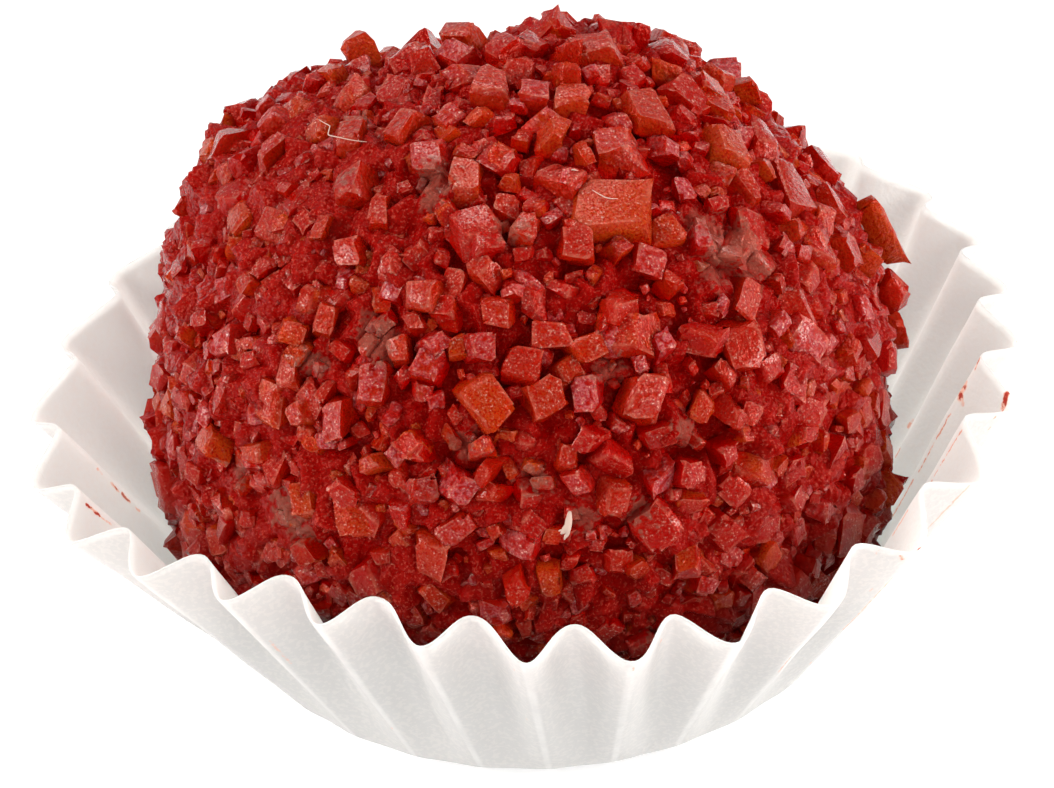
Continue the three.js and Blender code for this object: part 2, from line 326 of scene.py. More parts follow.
OUTER_STAINS = [
    (69.9, 27.5, 69.9, 27.4, 0.10, 0.6),  # right wall
    (70.3, 26.8, 70.3, 26.6, 0.08, 0.45),
    (57.0, 27.6, 56.3, 24.2, 0.08, 0.45),
    (44.6, 25.7, 44.2, 20.1, 0.08, 0.48),
    (42.9, 24.3, 42.9, 24.1, 0.08, 0.45),
    (31.7, 22.2, 31.7, 20.0, 0.08, 0.4),  # front
    (44.1, 16.9, 44.1, 16.7, 0.10, 0.35),
    (8.0, 27.1, 8.0, 26.7, 0.07, 0.45),
    (12.4, 26.2, 12.2, 25.8, 0.07, 0.45),
    (-5.6, 26.0, -5.6, 25.9, 0.06, 0.4),
    (-5.6, 20.1, -5.6, 20.0, 0.06, 0.4),
    (-29.3, 17.0, -29.3, 16.9, 0.07, 0.4),
    (-40.7, 23.8, -40.7, 21.6, 0.10, 0.3),
]


def direction(turn, rise):
    """Unit vector for a turn and a rise in radians."""
    turn, rise = np.broadcast_arrays(turn, rise)
    flat = np.cos(rise)
    return np.stack([flat * np.sin(turn), -flat * np.cos(turn), np.sin(rise)], axis=-1)


def arrows(tree, operation, first, second):
    """The result of a sum on two vectors or sockets, or on a vector and its scale."""
    inputs = {0: first, "Scale" if operation == "SCALE" else 1: second}
    made = add(tree, "ShaderNodeVectorMath", inputs, operation=operation)
    return made.outputs["Value" if operation in ("DOT_PRODUCT", "DISTANCE") else "Vector"]


def streak_group():
    """Mask of one streak: its strength on the line from its start, none past its half width from it."""
    inputs = {"Place": "Vector", "Start": "Vector", "Run": "Vector",
              "Half width": "Float", "Strength": "Float"}
    group, given = new_group("streak", inputs, ["Mask"])
    ahead = arrows(group, "SUBTRACT", given["Place"], given["Start"])
    passed = arrows(group, "DOT_PRODUCT", ahead, given["Run"])
    whole = arrows(group, "DOT_PRODUCT", given["Run"], given["Run"])
    part = add(group, "ShaderNodeClamp", {"Value": worked(group, "DIVIDE", passed, whole)}).outputs[0]
    apart = arrows(group, "DISTANCE", ahead, arrows(group, "SCALE", given["Run"], part))
    core = product(group, given["Half width"], 0.3)
    inside = stepped(group, apart, given["Half width"], core)
    add(group, "NodeGroupOutput", {"Mask": product(group, inside, given["Strength"])})
    return group


def stain_lines():
    """Start, run, half width and strength of every streak, in mm, on its own face of the paper."""
    inner = [(*stain, PAPER) for stain in INNER_STAINS]
    rows = np.array(inner + [(*stain, 0) for stain in OUTER_STAINS])
    angle = np.radians(rows[:, [0, 2]])
    inward = rows[:, -1, None, None] * direction(angle, -wall_lean(angle))
    ends = case_skin(angle, rows[:, [1, 3]]) - inward
    return ends[:, 0], ends[:, 1] - ends[:, 0], rows[:, 4], rows[:, 5]


def near_stain(points, lines):
    """Whether each point lies near enough to a streak for it to show there."""
    near = np.zeros(len(points), bool)
    for start, run, half_width, _ in zip(*lines):
        part = np.clip((points - start) @ run / (run @ run), 0, 1)
        apart = np.linalg.norm(points - start - part[:, None] * run, axis=1)
        near |= apart < half_width + STAIN_FRAY + STAIN_MARGIN
    return near


def stained(tree, lines):
    """The strongest of all the streaks at a place, with frayed edges and broken by a grain."""
    streak = streak_group()
    place = add(tree, "ShaderNodeTexCoord", {}).outputs["Object"]
    inputs = {"Vector": place, "Scale": 1 / (STAIN_GRAIN * MM), "Detail": 2.0}
    fray = add(tree, "ShaderNodeTexNoise", inputs).outputs
    strayed = arrows(tree, "SUBTRACT", fray["Color"], (0.5, 0.5, 0.5))
    place = arrows(tree, "ADD", place, arrows(tree, "SCALE", strayed, STAIN_FRAY * MM))
    strongest = 0.0
    for start, run, half_width, strength in zip(*lines):
        inputs = {"Place": place, "Start": (start + CASE_SHIFT) * MM, "Run": run * MM,
                  "Half width": half_width * MM, "Strength": strength}
        made = add(tree, "ShaderNodeGroup", inputs, node_tree=streak)
        strongest = worked(tree, "MAXIMUM", made.outputs["Mask"], strongest)
    whole = stretched(tree, stepped(tree, fray["Fac"], 0.38, 0.54), 0.7, 0.4)
    return product(tree, strongest, whole)


def paper_material(name, lines=None):
    """Matt greaseproof paper with thin specks, painted shade on its outer face, a painted highlight along
    its outward folds, and stains along any lines given.
    """
    material, tree, shader = bare_material(name)
    cloud, _ = grain(tree, PAPER_CLOUD)
    fibre, thin = grain(tree, PAPER_FIBRE, THIN_SHARE)
    # Painted highlight on the crests of the outward folds, broken up by the cloudy patches
    fold = stepped(tree, kept(tree, "fold"), 0.90, 1.0)
    # Painted shade: the outer face takes the darker paper colour
    colour = mixed(tree, kept(tree, "outside"), PAPER_WHITE, PAPER_OUTSIDE_SHADED)
    colour = mixed(tree, product(tree, thin, 0.3), colour, PAPER_THIN)
    colour = mixed(tree, product(tree, fold, cloud), colour, PAPER_FOLD_HIGHLIGHT)
    if lines:
        stain = stained(tree, lines)
        colour = mixed(tree, stepped(tree, stain, 0.0, 0.55), colour, STAIN_PINK)
        colour = mixed(tree, stepped(tree, stain, 0.4, 1.2), colour, STAIN_RED)
    shader.subsurface_method = "BURLEY"
    fill(tree, shader, {
        "Base Color": colour,
        "Normal": bumped(tree, fibre, FIBRE_RELIEF, 0.6),
        "Roughness": 0.75,
        "Specular IOR Level": 0.25,
        "Subsurface Weight": 0.9,
        "Subsurface Radius": (1.0, 1.0, 0.95),
        "Subsurface Scale": 0.5 * MM,
    })
    return material


def paper_case():
    """The case as one closed skin: out under the base, up the outer face, over the rim and down inside.

    The inner face is the outer one set in along its normals by the paper's thickness, and a point in the
    middle closes each side of the base.
    """
    columns = FLUTES * COLUMNS_PER_FLUTE
    angle = np.arange(columns) * 2 * math.pi / columns
    bend = BASE_BEND * (math.pi / 2 - math.radians(WALL_LEAN))
    flat_end = BASE_RADIUS - BASE_BEND * math.tan(bend / BASE_BEND / 2)
    wall = WALL_LENGTH - (BASE_RADIUS - flat_end)
    stations = np.concatenate([
        np.linspace(FIRST_RING, flat_end, BASE_RINGS, endpoint=False),
        np.linspace(flat_end, flat_end + bend, BEND_RINGS, endpoint=False),
        np.linspace(flat_end + bend, flat_end + bend + wall, WALL_RINGS),
    ])
    outer = case_skin(angle[:, None], stations[None, :])
    inner = outer - PAPER * grid_normals(outer)
    points = np.concatenate([outer, inner[:, ::-1]], axis=1)
    rows = points.shape[1]
    points = np.concatenate([points.reshape(-1, 3), [[0, 0, 0], [0, 0, PAPER]]])
    faces = closed_skin(columns, rows)
    piece = put_mesh("fluted_paper_case", points, faces, paper_material("white_paper"), smooth=True)
    lines = stain_lines()
    piece.data.materials.append(paper_material("stained_paper", lines))
    marked = np.concatenate([near_stain(points[kind].mean(axis=1), lines) for kind in faces])
    piece.data.polygons.foreach_set("material_index", marked.astype(np.int32))
    # Marks the outer face, which the material paints darker as painted shade
    outside = np.tile(np.arange(rows) < outer.shape[1], columns)
    fold = np.repeat(flute_wave(angle), rows)
    put_values(piece, "POINT", fold=np.append(fold, [0, 0]), outside=np.append(outside, [1, 0]))
    return piece


case = paper_case()
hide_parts("paper_case")
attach(case, "root")

# Sweet body
# A ball of soft fudge rolled by hand, wider than tall and flattened where it sits. Its skin is a dark red
# crust of sugar grains that have melted into it, and it shows in the gaps between the crystals.
SWEET_CENTRE = np.array([-0.4, -1.0, 11.2])
SWEET_RADIUS = 15.75
SWEET_RISE = 16.25  # from the widest level to the crown
SWEET_DROP = 12.0  # from the widest level to where the round would close
SWEET_FULLNESS = 2.6  # 2 is a true ellipse; more fills out the half below the widest level
SEAT = 0.6  # height of its flat underside
PAPER_ROOM = 0.25  # what the sweet keeps clear of the middle of the paper wall
# Turn, rise, height and spread of each swelling and hollow
LUMPS = [
    (-120, 38, 1.5, 21),  # the left shoulder
    (-165, 58, -1.1, 18),  # the hollow beside the crown
    (85, -5, -0.6, 13),  # the flat right side
    (70, -27, 0.5, 14),
    (155, 12, 0.5, 26),
    (-150, -8, -0.4, 20),
    (95, 20, 0.6, 14),
    (-65, -18, 0.7, 14),
    (135, 58, 0.5, 16),
]
# Turn, rise and spread of the places where handling has pressed the grains together
PRESSED = [(-85, 20, 42), (-28, -6, 25), (22, -8, 25), (68, 8, 26), (-60, 62, 16), (150, 10, 40),
           (-160, 15, 35)]
PRESSED_FULLNESS = 0.9  # how pressed the middle of such a place is
BODY_COLUMNS = 440
FINE_ROWS = 190  # above the lowest rise that shows
COARSE_ROWS = 24
LOWEST_SEEN = -35  # degrees
ROW_ENDS = (-89, 89.4)  # rises of the first and last row, next to the poles
MELTED_SEED = 3
MELTED_BLOCKS = 3400
MELTED_HALF = (0.25, 0.75)  # half the width of a crystal that has melted into the skin
MELTED_TOP = (-0.45, 0.25)  # height of its top over the skin where the coat is free
MELTED_SLOPE = 0.42  # how steeply its top leans
MELTED_SIDE = 2.4  # how steeply its sides fall
MELTED_NEAR = 7  # how many of them can reach one point
PRESSED_RISE = 0.16  # how much higher they lie where the coat is pressed
GAP_DEPTH = 0.46  # how far the bare skin lies below the outline between crystals
GAP_RISE = 0.2  # how much higher it lies where the coat is pressed
BATCHES = 60  # the crust is worked out in this many parts, to save memory


def bells(toward, places):
    """Bell curves of the angle from each place: its height falls with the square of angle over spread."""
    total = np.zeros(toward.shape[:-1])
    for turn, rise, height, spread in places:
        apart = np.arccos(np.clip(toward @ direction(math.radians(turn), math.radians(rise)), -1, 1))
        total += height * np.exp(-((apart / math.radians(spread)) ** 2))
    return total


def pressed(toward):
    """From 0 where the crystals stand free to 1 where they are pressed together and half melted in."""
    places = [(turn, rise, PRESSED_FULLNESS, spread) for turn, rise, spread in PRESSED]
    return np.clip(bells(toward, places), 0, 1)


def room_in_case(points):
    """How far from the case's axis a point may lie at its height and still clear the inward folds."""
    lean = wall_lean(np.arctan2(points[..., 0], -points[..., 1]))
    top = WALL_LENGTH * np.cos(lean)
    height = points[..., 2]
    fold = (flute_depth(height / top) / 2 + PAPER_ROOM) / np.cos(lean)
    room = BASE_RADIUS + height * np.tan(lean) - fold
    return np.where(height > top + FLUTE_DEPTH, np.inf, room)


def seated(points):
    """The points raised to the seat and drawn in to the room in the case."""
    points[..., 2] = np.maximum(points[..., 2], SEAT)
    reach = np.maximum(np.hypot(points[..., 0], points[..., 1]), 1e-6)
    points[..., :2] *= np.minimum(1, room_in_case(points) / reach)[..., None]
    return points


def sweet_point(toward):
    """Skin of the sweet in each direction from its centre.

    Two half ellipsoids, the lower one fuller than an ellipse, swollen or dented by the lumps; level where
    it sits and pressed in where the paper holds it.
    """
    swell = bells(toward, LUMPS)
    above = toward[..., 2] > 0
    power = np.where(above, 2.0, SWEET_FULLNESS)
    flat = np.hypot(toward[..., 0], toward[..., 1])
    full = (flat**power + np.abs(toward[..., 2]) ** power) ** (-1 / power)
    points = toward * (swell + full * SWEET_RADIUS)[..., None]
    points[..., 2] = toward[..., 2] * (swell + full * np.where(above, SWEET_RISE, SWEET_DROP))
    return seated(points + SWEET_CENTRE)


def sweet_normal(toward):
    """Normal of the plain ellipsoid in each direction, which the crystals lie square to."""
    tall = np.where(toward[..., 2] > 0, SWEET_RISE, SWEET_DROP)
    level = np.ones_like(tall)
    return unit(toward * np.stack([level, level, SWEET_RADIUS / tall], axis=-1))


def scattered(draw, count):
    """Directions spread evenly at random over the whole sweet."""
    return unit(draw.normal(size=(count, 3)))


def between(limits, part):
    """The number that lies at a part of the way between two limits."""
    return limits[0] + (limits[1] - limits[0]) * part


def tangents(normal, spin):
    """Two directions along the skin, square to each other and turned by a spin from east and north."""
    east = unit(np.cross([0.0, 0.0, 1.0], normal))
    north = np.cross(normal, east)
    cosine, sine = np.cos(spin)[..., None], np.sin(spin)[..., None]
    return cosine * east + sine * north, cosine * north - sine * east


def melted_crust(toward):
    """Height of the crust over the skin: the highest melted block that reaches a point, or the bare skin.

    A block's height is its top plane, t + p x + q y in its own directions x and y, less the steepness of
    its sides times how far the point lies outside its half widths, max(|x| - a, |y| - b, 0).
    """
    draw = np.random.default_rng(MELTED_SEED)
    middle = scattered(draw, MELTED_BLOCKS)
    along, across = tangents(middle, draw.uniform(0, math.pi, MELTED_BLOCKS))
    half = between(MELTED_HALF, draw.random((MELTED_BLOCKS, 2)))
    top = between(MELTED_TOP, draw.random(MELTED_BLOCKS)) + PRESSED_RISE * pressed(middle)
    slope = MELTED_SLOPE * draw.normal(size=(MELTED_BLOCKS, 2))
    flat = toward.reshape(-1, 3)
    height = -GAP_DEPTH + GAP_RISE * pressed(flat)
    for part in np.array_split(np.arange(len(flat)), BATCHES):
        close = flat[part] @ middle.T
        near = np.argpartition(-close, MELTED_NEAR, axis=1)[:, :MELTED_NEAR]
        offset = (flat[part, None] - middle[near]) * SWEET_RADIUS
        place = np.stack([(offset * along[near]).sum(-1), (offset * across[near]).sum(-1)], axis=-1)
        outside = np.maximum((np.abs(place) - half[near]).max(axis=-1), 0)
        block = top[near] + (slope[near] * place).sum(-1) - MELTED_SIDE * outside
        height[part] = np.maximum(height[part], block.max(axis=1))
    return height.reshape(toward.shape[:-1])


def film_group():
    """Mask of the dull film of dried syrup, from how much covers a place and a grain that breaks it."""
    group, given = new_group("dried_film", {"Cover": "Float", "Grain": "Float"}, ["Film"])
    both = stretched(group, given["Cover"], 0.4, product(group, given["Grain"], 0.75))
    add(group, "NodeGroupOutput", {"Film": stepped(group, both, 0.66, 0.80)})
    return group


film = film_group()
FILM_PLACES = [(50, 51), (51, 45), (-28, 42), (-31, 44), (-53, 15), (-43, 14), (-39, 11), (16, -7), (2, 60),
               (-85, 69), (-57, 62), (-29, 69), (-25, 66), (57, 46), (44, 44), (55, 40), (-41, 37),
               (16, 37), (-11, 29), (0, 23), (7, 16), (16, 15), (26, 25)]  # turn and rise
FILM_SPREAD = 3.2  # degrees
PLAIN_FILM = 0.2  # what lies everywhere
FILM_BROWN = (0.22, 0.085, 0.058, 1)
SUGAR_GLOSS = (1.0, 0.17, 0.10, 1)
MELT_LENGTH = 0.7  # how far light wanders in the sugar
# Painted shade: the darker red of the crust where it lies low between the crystals
SHADED_GAP_RED = (0.25, 0.0002, 0.0001, 1)
CRUST_RED = (0.30, 0.008, 0.005, 1)
CRUST_GRAIN = (0.55, 0.09, 0.06, 1)
CRUST_GRAIN_SIZES = (0.32, 0.13)  # sizes of the rough and the fine grain
CRUST_RELIEF = (0.3, 0.05)  # depths of the same
# Where the coat is free, less of the crust takes the paler colour, so more of it keeps the painted shade of
# the gaps
FREE_HAZE = 0.3  # how hazy raised sugar is where the coat is free


def film_cover(points):
    """How much film lies at points of the coat: a little everywhere and more about the filmed places."""
    places = [(turn, rise, 1, FILM_SPREAD) for turn, rise in FILM_PLACES]
    return PLAIN_FILM + bells(unit(points - SWEET_CENTRE), places)


def filmed(tree, rough):
    """The mask of the film that a piece keeps, broken up by a grain."""
    inputs = {"Cover": kept(tree, "film"), "Grain": rough}
    return add(tree, "ShaderNodeGroup", inputs, node_tree=film).outputs["Film"]


def pitted(tree, rough, fine, depths, strength):
    """The normal of a rough surface with fine pits in it, for the depths of both."""
    return bumped(tree, fine, depths[1], strength, bumped(tree, rough, depths[0], strength))


def finish_sugar(tree, shader, colour, roughness, normal, gloss, melt):
    """Gives a shader its colour, a red gloss, and a share of red light that wanders through the sugar."""
    shader.subsurface_method = "BURLEY"
    fill(tree, shader, {
        "Base Color": colour,
        "Roughness": roughness,
        "Normal": normal,
        "Specular IOR Level": gloss,
        "Specular Tint": SUGAR_GLOSS,
        "Subsurface Weight": melt,
        "Subsurface Radius": (1.0, 0.12, 0.10),
        "Subsurface Scale": MELT_LENGTH * MM,
    })


def crust_material():
    """Melted red sugar: a deep, clear and darker red in the gaps, which is painted shade, hazy with grain
    where it is raised, film in patches.
    """
    material, tree, shader = bare_material("melted_sugar")
    raised = kept(tree, "raised")
    rough, _ = grain(tree, CRUST_GRAIN_SIZES[0])
    fine, specks = grain(tree, CRUST_GRAIN_SIZES[1])
    # Paler colour on raised parts; the low gaps keep the darker red, which is painted shade
    haze_out_of_shade = product(tree, raised, stepped(tree, rough, 0.2, 0.7))
    colour = mixed(tree, haze_out_of_shade, SHADED_GAP_RED, CRUST_RED)
    hazed = stretched(tree, raised, 0.5, 0.25)
    colour = mixed(tree, product(tree, specks, hazed, 0.6), colour, CRUST_GRAIN)
    colour = mixed(tree, product(tree, filmed(tree, rough), hazed), colour, FILM_BROWN)
    roughness = stretched(tree, rough, 0.16, 0.09)
    normal = pitted(tree, rough, fine, CRUST_RELIEF, 0.8)
    finish_sugar(tree, shader, colour, roughness, normal, gloss=0.15, melt=0.7)
    return material


def sweet_body():
    """The skin on a grid of turns and rises, closed at both poles, with the melted crust raised on it."""
    turn = np.arange(BODY_COLUMNS) * 2 * math.pi / BODY_COLUMNS
    rise = np.radians(np.concatenate([
        np.linspace(ROW_ENDS[0], LOWEST_SEEN, COARSE_ROWS, endpoint=False),
        np.linspace(LOWEST_SEEN, ROW_ENDS[1], FINE_ROWS),
    ]))
    toward = direction(turn[:, None], rise[None, :])
    relief = melted_crust(toward)
    points = seated(sweet_point(toward) + sweet_normal(toward) * relief[..., None])
    poles = sweet_point(direction(np.zeros(2), np.array([-math.pi / 2, math.pi / 2])))
    points = np.concatenate([points.reshape(-1, 3), poles])
    faces = closed_skin(BODY_COLUMNS, len(rise))
    piece = put_mesh("sweet_body", points, faces, crust_material(), smooth=True)
    hazy = between((FREE_HAZE, 1), pressed(toward))
    # How high the crust lies sets how much of it takes the paler colour and how much keeps the painted shade
    # of the gaps
    raised = np.clip((relief + GAP_DEPTH) / (2 * GAP_DEPTH) * hazy, 0, 1)
    put_values(piece, "POINT", raised=np.append(raised, [1, 1]), film=film_cover(points))
    return piece


body = sweet_body()
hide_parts("coated_sweet")
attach(body, "root")

# Large sugar crystals
# Blocks of coloured rock sugar, mostly one to four millimetres across, with worn edges and chipped corners.
# The sweet was rolled in them while soft, so each lies pressed into the skin, some square to it and some on
# edge.

# Turn, rise, across, along, thick, spin, tone from crimson to orange, and frost of those that stand out
STANDOUT = np.array([
    (32, 58, 3.9, 2.9, 1.5, -28, 0.9, 0.02),  # the broad amber slab
    (77, 53, 2.1, 2.6, 1.4, -68, 0.9, 0.20),  # the orange slab behind it
    (97, 18, 1.1, 5.2, 1.2, 10, 1.0, 0.15),  # stands off the right side
    (-144, 55, 1.7, 1.7, 2.8, 70, 0.7, 0.45),  # stands on the left outline
    (-168, 73, 1.7, 1.5, 2.3, 142, 0.6, 0.60),  # stands beside the crown
    (49, 66, 2.5, 2.2, 1.4, -45, 0.4, 0.55),
    (75, 66, 2.1, 3.0, 1.3, -56, 0.5, 0.20),
    (58, 77, 1.7, 1.5, 1.4, -58, 0.7, 0.30),
    (114, 72, 2.5, 2.0, 1.6, -112, 0.4, 0.25),
    (80, 27, 1.9, 2.4, 1.3, -22, 0.3, 0.25),
    (5, 59, 1.6, 1.6, 1.4, -31, 0.3, 0.30),
    (-4, 47, 1.8, 1.8, 1.3, -4, 0.3, 0.30),
    (-21, 49, 1.8, 1.8, 1.3, 2, 0.4, 0.45),
    (-7, 34, 2.2, 2.8, 1.5, 30, 0.7, 0.05),
    (20, 31, 2.2, 2.5, 1.4, -28, 0.3, 0.50),
    (42, 32, 2.0, 2.0, 1.4, -19, 0.2, 0.05),
    (90, 6, 1.3, 2.8, 2.2, 0, 0.4, 0.20),
    (-12, 22, 1.8, 1.9, 1.5, -35, 0.0, 0.90),
    (12, 18, 1.6, 2.0, 1.3, -23, 0.3, 0.25),
    (-42, 53, 1.6, 1.8, 1.5, 31, 0.2, 0.35),
    (-54, 62, 2.0, 2.4, 1.6, 39, 0.2, 0.30),
    (-35, 71, 2.6, 2.6, 1.2, 30, 0.1, 0.60),
    (-46, 33, 1.6, 2.2, 1.3, 16, 0.4, 0.30),
    (-34, 29, 1.5, 2.2, 1.4, 9, 0.2, 0.70),
    (-17, 11, 1.8, 2.2, 1.3, -12, 0.4, 0.25),
    (50, 82, 1.45, 1.9, 1.3, -59, 0.2, 0.60),
    (113, 50, 1.3, 1.6, 1.3, -67, 0.6, 0.30),
    (54, 55, 1.0, 1.5, 1.2, -28, 0.0, 0.90),
    (47, 48, 1.0, 1.9, 1.3, -37, 0.0, 0.95),
    (69, 48, 1.0, 2.6, 1.3, -24, 0.3, 0.30),
    (-7, 53, 1.3, 1.5, 1.2, -32, 0.3, 0.20),
    (13, 40, 1.85, 1.2, 1.3, 7, 0.5, 0.15),
    (11, 34, 1.45, 1.6, 1.3, -2, 0.0, 0.85),
    (3, 34, 1.9, 1.7, 1.3, 20, 0.4, 0.20),
    (27, 37, 1.2, 1.3, 1.3, 6, 0.0, 0.90),
    (22, 36, 0.75, 0.9, 1.0, 1, 0.1, 0.80),
    (48, 37, 1.6, 2.1, 1.2, -58, 0.3, 0.20),
    (74, 21, 1.2, 1.6, 1.2, -34, 0.0, 0.85),
    (6, 25, 1.2, 1.5, 1.2, -14, 0.3, 0.30),
    (1, 7, 1.6, 1.6, 1.2, -7, 0.8, 0.15),
    (-41, 60, 1.0, 2.0, 1.2, 30, 0.3, 0.30),
    (-55, 54, 1.2, 1.7, 1.2, 14, 0.5, 0.30),
    (-92, 54, 1.3, 2.2, 1.2, 30, 0.3, 0.70),
    (-61, 74, 1.45, 2.2, 1.3, 17, 0.4, 0.35),
    (-76, 67, 1.6, 1.9, 1.3, 63, 0.4, 0.40),
    (-15, 68, 1.7, 2.3, 1.2, 4, 0.6, 0.25),
    (-42, 42, 1.3, 1.8, 1.2, 10, 0.4, 0.30),
    (-24, 41, 1.3, 1.55, 1.2, 18, 0.4, 0.30),
    (-59, 26, 0.7, 2.5, 1.2, 2, 0.1, 0.50),
    (-8, 42, 1.6, 1.7, 1.2, -6, 0.1, 0.60),
    (6, 43, 1.9, 1.4, 1.2, -9, 0.3, 0.30),
    (0, 39, 2.0, 1.5, 1.2, -21, 0.2, 0.10),
    (32, 49, 1.7, 1.7, 1.2, -40, 0.1, 0.55),
    (88, 32, 2.0, 2.0, 1.2, -52, 0.3, 0.25),
    (80, 40, 1.9, 3.0, 1.2, -59, 0.2, 0.10),
    (-37, 16, 1.7, 2.2, 1.2, 16, 0.8, 0.20),
    (-9, 87, 1.9, 2.4, 1.5, 0, 0.4, 0.35),
])
STANDOUT_TILT = 7  # degrees; a usual lean off the skin
STANDOUT_WEAR = (0.02, 0.09)
STANDOUT_SHADE = 0.3
STANDOUT_SEEDS = (10, 11)  # of their tilts and of their wear
STANDS_OFF = 2  # row of the crystal that only leans on the coat
STANDOFF_SINK = -0.15
SPREAD_CRYSTALS = 760
SPREAD_SEEDS = (21, 12)  # of their places and of their wear
SPREAD_CROWDING = 0.70  # least distance from a standout's middle, as a part of both half widths
CRYSTAL_WIDTH = (1.35, 2.3)
CRYSTAL_LENGTH = (0.6, 1.45)  # parts of its width
CRYSTAL_THICKNESS = 1.4
THICKNESS_RANGE = (0.8, 1.1)  # parts of that
CRYSTAL_SINK = 0.33  # part of the thickness pressed into the skin
SINK_STRAY = 0.15
CRYSTAL_TILT = 24
PRESSED_SINK = 0.32  # what is added to the sink where the coat is pressed
PRESSED_SHRINK = 0.2  # part of the width lost there
PRESSED_LEVEL = 0.7  # part of the tilt lost there
# The deep red at the foot of each block is painted light and shade
PRESSED_LIFT = 0.35  # how much higher over the skin the sugar counts there, so less of it is deep red
CORNER_WEAR = np.array([0.5, 0.5, 0.35])  # the most that a corner lies inside its box, part of each side
WEAR_CURVE = 1.8  # more leaves most corners little worn
TAPER = 0.30  # the most that a block's top is smaller than its foot
SKEW = 0.22  # usual lean of a block's own sides
EDGE_WEAR = (0.03, 0.13)  # how far edges are drawn in, as a part of the way to the middle
CHIPPED_SHARE = 0.32
CHIP = (0.15, 0.42)  # the same for a chipped corner
UNEVEN = 0.045  # how far points stray, as a part of the smallest side
SHARP_EDGE = 38  # degrees; faces that meet at less are smooth
WANDER = 0.55  # places wander from the even spread by this part of their spacing
LOWEST_RISE = -42  # degrees; below it the sweet lies bare on the base
GOLDEN_ANGLE = math.pi * (3 - math.sqrt(5))
SIGNS = np.array(list(np.ndindex(2, 2, 2))) * 2 - 1
CELLS = np.array([0, 0.2, 0.8, 1])  # where the points of a block lie along each of its sides
LAST = len(CELLS) - 1
LATTICE = np.array([place for place in np.ndindex(4, 4, 4) if 0 in place or LAST in place])
EDGE_ORDER = ((LATTICE == 0) | (LATTICE == LAST)).sum(axis=1) - 1  # 0 on a side, 1 an edge, 2 a corner


def block_faces():
    """Faces of one block, three by three on each of its six sides, all facing outwards."""
    number = np.zeros((4, 4, 4), int)
    number[tuple(LATTICE.T)] = np.arange(len(LATTICE))
    faces = []
    for axis, end in [(0, 0), (0, LAST), (1, LAST), (1, 0), (2, 0), (2, LAST)]:
        sheet = number.take(end, axis=axis)
        quads = np.stack([sheet[:-1, :-1], sheet[1:, :-1], sheet[1:, 1:], sheet[:-1, 1:]], axis=-1)
        quads = quads.reshape(-1, 4)
        faces.append(quads if len(faces) % 2 else quads[:, ::-1])
    return np.concatenate(faces)


BLOCK_FACES = block_faces()


def block_points(size, edge_wear, draw):
    """Points of many worn blocks about their own centres: (blocks, 56, 3).

    The eight corners lie at half the size each way, each drawn in by its own wear, and the other points lie
    between them. Edges are drawn in towards the middle by the edge wear and corners by twice as much or by
    a chip.
    """
    wear = draw.random((len(size), 8, 3)) ** WEAR_CURVE * CORNER_WEAR
    corner = 0.5 * size[:, None] * SIGNS * (1 - wear)
    part = CELLS[LATTICE][:, None]
    points = np.where(SIGNS > 0, part, 1 - part).prod(axis=-1) @ corner
    draw_in = EDGE_ORDER * between(edge_wear, draw.random(points.shape[:2]))
    chipped = (EDGE_ORDER == 2) & (draw.random(draw_in.shape) < CHIPPED_SHARE)
    draw_in = np.where(chipped, between(CHIP, draw.random(draw_in.shape)), draw_in)
    uneven = UNEVEN * size.min(axis=1)[:, None, None] * draw.normal(size=points.shape)
    return points * (1 - draw_in[..., None]) + uneven


def laid(points, toward, spin, tilt, lift):
    """Blocks tilted two ways, spun and set on the skin, and how high over it each point counts."""
    x, y, z = points[..., 0], points[..., 1], points[..., 2]
    first, second = tilt[:, 0, None], tilt[:, 1, None]
    y, z = y * np.cos(first) - z * np.sin(first), y * np.sin(first) + z * np.cos(first)
    x, z = x * np.cos(second) + z * np.sin(second), z * np.cos(second) - x * np.sin(second)
    normal = sweet_normal(toward)
    along, across = tangents(normal, spin)
    centre = sweet_point(toward) + normal * lift[:, None]
    spread = x[..., None] * along[:, None] + y[..., None] * across[:, None] + z[..., None] * normal[:, None]
    return centre[:, None] + spread, z + (lift + PRESSED_LIFT * pressed(toward))[:, None]


def worn_blocks(toward, size, spin, tilt, sink, edge_wear, seed):
    """Blocks with seeded wear, laid on the sweet with a part of their thickness sunk into it."""
    draw = np.random.default_rng(seed)
    points = block_points(size, edge_wear, draw)
    level = points[..., 2:] / size[:, None, 2:] + 0.5
    points[..., :2] *= 1 - TAPER * draw.random((len(size), 1, 1)) * level
    points[..., :2] += SKEW * draw.normal(size=(len(size), 1, 2)) * points[..., 2:]
    return laid(points, toward, spin, tilt, size[:, 2] * (0.5 - sink))


def clear_of_paper(points):
    """Whether all points of each block keep clear of the paper's wall and base."""
    inside = np.hypot(points[..., 0], points[..., 1]) < room_in_case(points)
    return (inside & (points[..., 2] > SEAT)).all(axis=1)


CRIMSON = (0.31, 0.0010, 0.0006, 1)
ORANGE = (0.43, 0.046, 0.004, 1)
DEEP_RED = (0.31, 0.0002, 0.0001, 1)
# Painted light and shade: the clear red of each block's foot down in the gaps, with no pale, stands in for
# red light shining through the sugar in the shade there
GAP_GLOW_RED = (0.62, 0.0002, 0.0001, 1)
# Pale colours of outward faces: partly real dust, frost and wear, partly painted sheen, glints and edge
# highlights
DUST_AND_SHEEN_ROSE = (0.31, 0.092, 0.057, 1)
FROST_PINK = (0.50, 0.13, 0.155, 1)
WORN_AND_HIGHLIGHT_PINK = (0.52, 0.155, 0.095, 1)
